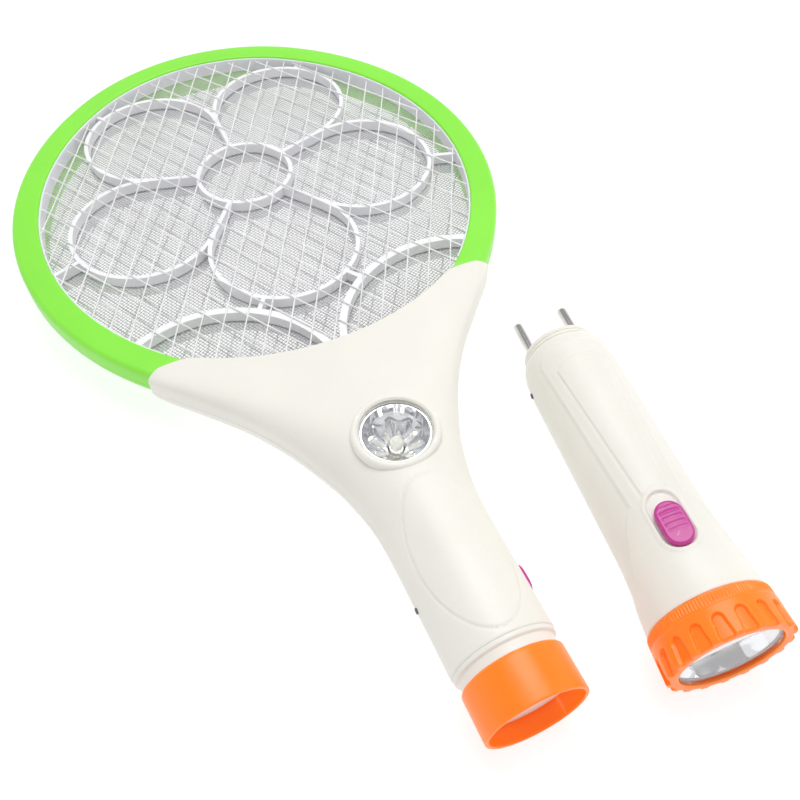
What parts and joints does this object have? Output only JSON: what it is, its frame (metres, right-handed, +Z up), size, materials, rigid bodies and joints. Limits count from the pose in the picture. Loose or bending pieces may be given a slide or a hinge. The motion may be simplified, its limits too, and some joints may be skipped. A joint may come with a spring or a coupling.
{
  "type": "electric fly swatter",
  "caption": "Racket-shaped electric fly swatter with wire meshes over a flower-shaped spacer, a lamp in its throat, and a plug-in rechargeable torch lying beside it.",
  "frame": {"origin": "centre of the whole object at table level", "axes": "+Y along the racket, from the handle to the tip of the head; +Z up, out of the front mesh; +X towards the torch"},
  "size_m": [0.215, 0.393, 0.0428],
  "materials": {
    "lime_rim": "glossy",
    "mesh_wire": "bright",
    "white_spacer": "satin",
    "screw_steel": "satin",
    "reflector": "vacuum metallised",
    "led_resin": "clear resin",
    "clear_lens": "clear",
    "board": "satin",
    "contact_brass": "plain",
    "capacitor": "glossy",
    "black_parts": "matte",
    "magenta_key": "satin",
    "orange_ring": "glossy",
    "plated_pin": "nickel plated",
    "battery_steel": "sleeved",
    "gasket_rubber": "matte",
    "ivory_shell": "satin"
  },
  "bodies": {
    "racket": {"rim_front": "lime_rim", "rim_rear": "lime_rim", "front_mesh": "mesh_wire", "front_spacer": "white_spacer", "middle_mesh": "mesh_wire", "rear_spacer": "white_spacer", "rear_mesh": "mesh_wire", "rim_screws": "screw_steel", "front_shell": "ivory_shell", "rear_shell": "ivory_shell", "lamp_bezel": "ivory_shell", "lamp_reflector": "reflector", "lamp_led": "led_resin", "lamp_lens": "clear_lens", "circuit_board": "board", "step_up_transformer": "contact_brass", "storage_capacitor": "capacitor", "diode_ladder": "black_parts", "mesh_contacts": "contact_brass", "zap_switch": "black_parts", "neck_ring": "ivory_shell", "socket_plate": "ivory_shell", "contact_sleeves": "contact_brass", "collar": "orange_ring", "shell_screws": "screw_steel", "handle_side_screw": "black_parts"},
    "zap_button": {"zap_button": "magenta_key"},
    "torch": {"torch_front_shell": "ivory_shell", "torch_rear_shell": "ivory_shell", "plug_cap": "ivory_shell", "plug_pins": "plated_pin", "torch_battery": "battery_steel", "charge_board": "board", "torch_switch": "black_parts", "torch_reflector": "reflector", "torch_led_board": "board", "torch_leds": "led_resin", "lens_gasket": "gasket_rubber", "torch_lens": "clear_lens", "torch_side_screw": "black_parts"},
    "torch_slider": {"torch_slider": "magenta_key"},
    "torch_bezel": {"torch_bezel": "orange_ring"}
  },
  "joints": [
    {"name": "zap_press", "type": "slide", "parent": "racket", "child": "zap_button", "axis": [-1, 0, 0], "range_m": [0, 0.0015], "stiffness_N_per_m": 800, "springref_m": -0.001},
    {"name": "torch_lift", "type": "slide", "parent": "racket", "child": "torch", "axis": [0, 0, 1], "range_m": [0, 0.08]},
    {"name": "torch_switch_slide", "type": "slide", "parent": "torch", "child": "torch_slider", "axis": [0.1305, 0.991, -0.0309], "range_m": [0, 0.0044]},
    {"name": "bezel_twist", "type": "hinge", "parent": "torch", "child": "torch_bezel", "pos_m": [0.06234, -0.18474, 0.02116], "axis": [-0.1305, -0.991, 0.0309], "range_deg": [0, 90]}
  ]
}
